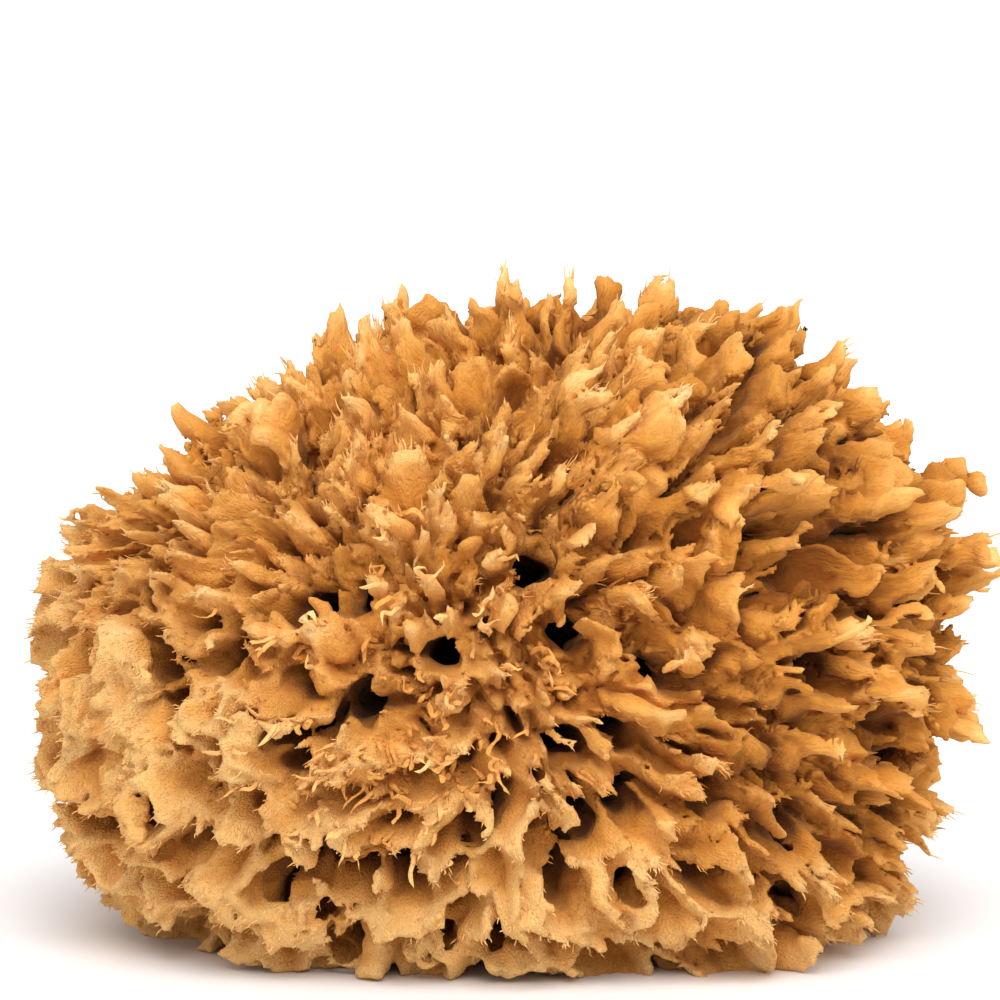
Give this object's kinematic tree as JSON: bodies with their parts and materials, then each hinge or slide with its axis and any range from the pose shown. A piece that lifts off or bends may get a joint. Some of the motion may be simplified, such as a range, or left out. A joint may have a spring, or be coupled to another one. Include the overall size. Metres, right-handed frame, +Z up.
{
  "type": "sea sponge",
  "caption": "Rounded natural sea sponge with deep funnel-shaped canals, ragged crests between them and a flat cut underside.",
  "frame": {"origin": "on the flat cut it rests on, under the middle of the body", "axes": "+Z up from the cut, +X along the longest side to the right as seen from the front, front towards -Y"},
  "size_m": [0.1566, 0.1304, 0.1154],
  "materials": {
    "spongin": "matte fibrous, felted"
  },
  "bodies": {
    "root": {"sponge": "spongin"}
  },
  "joints": []
}
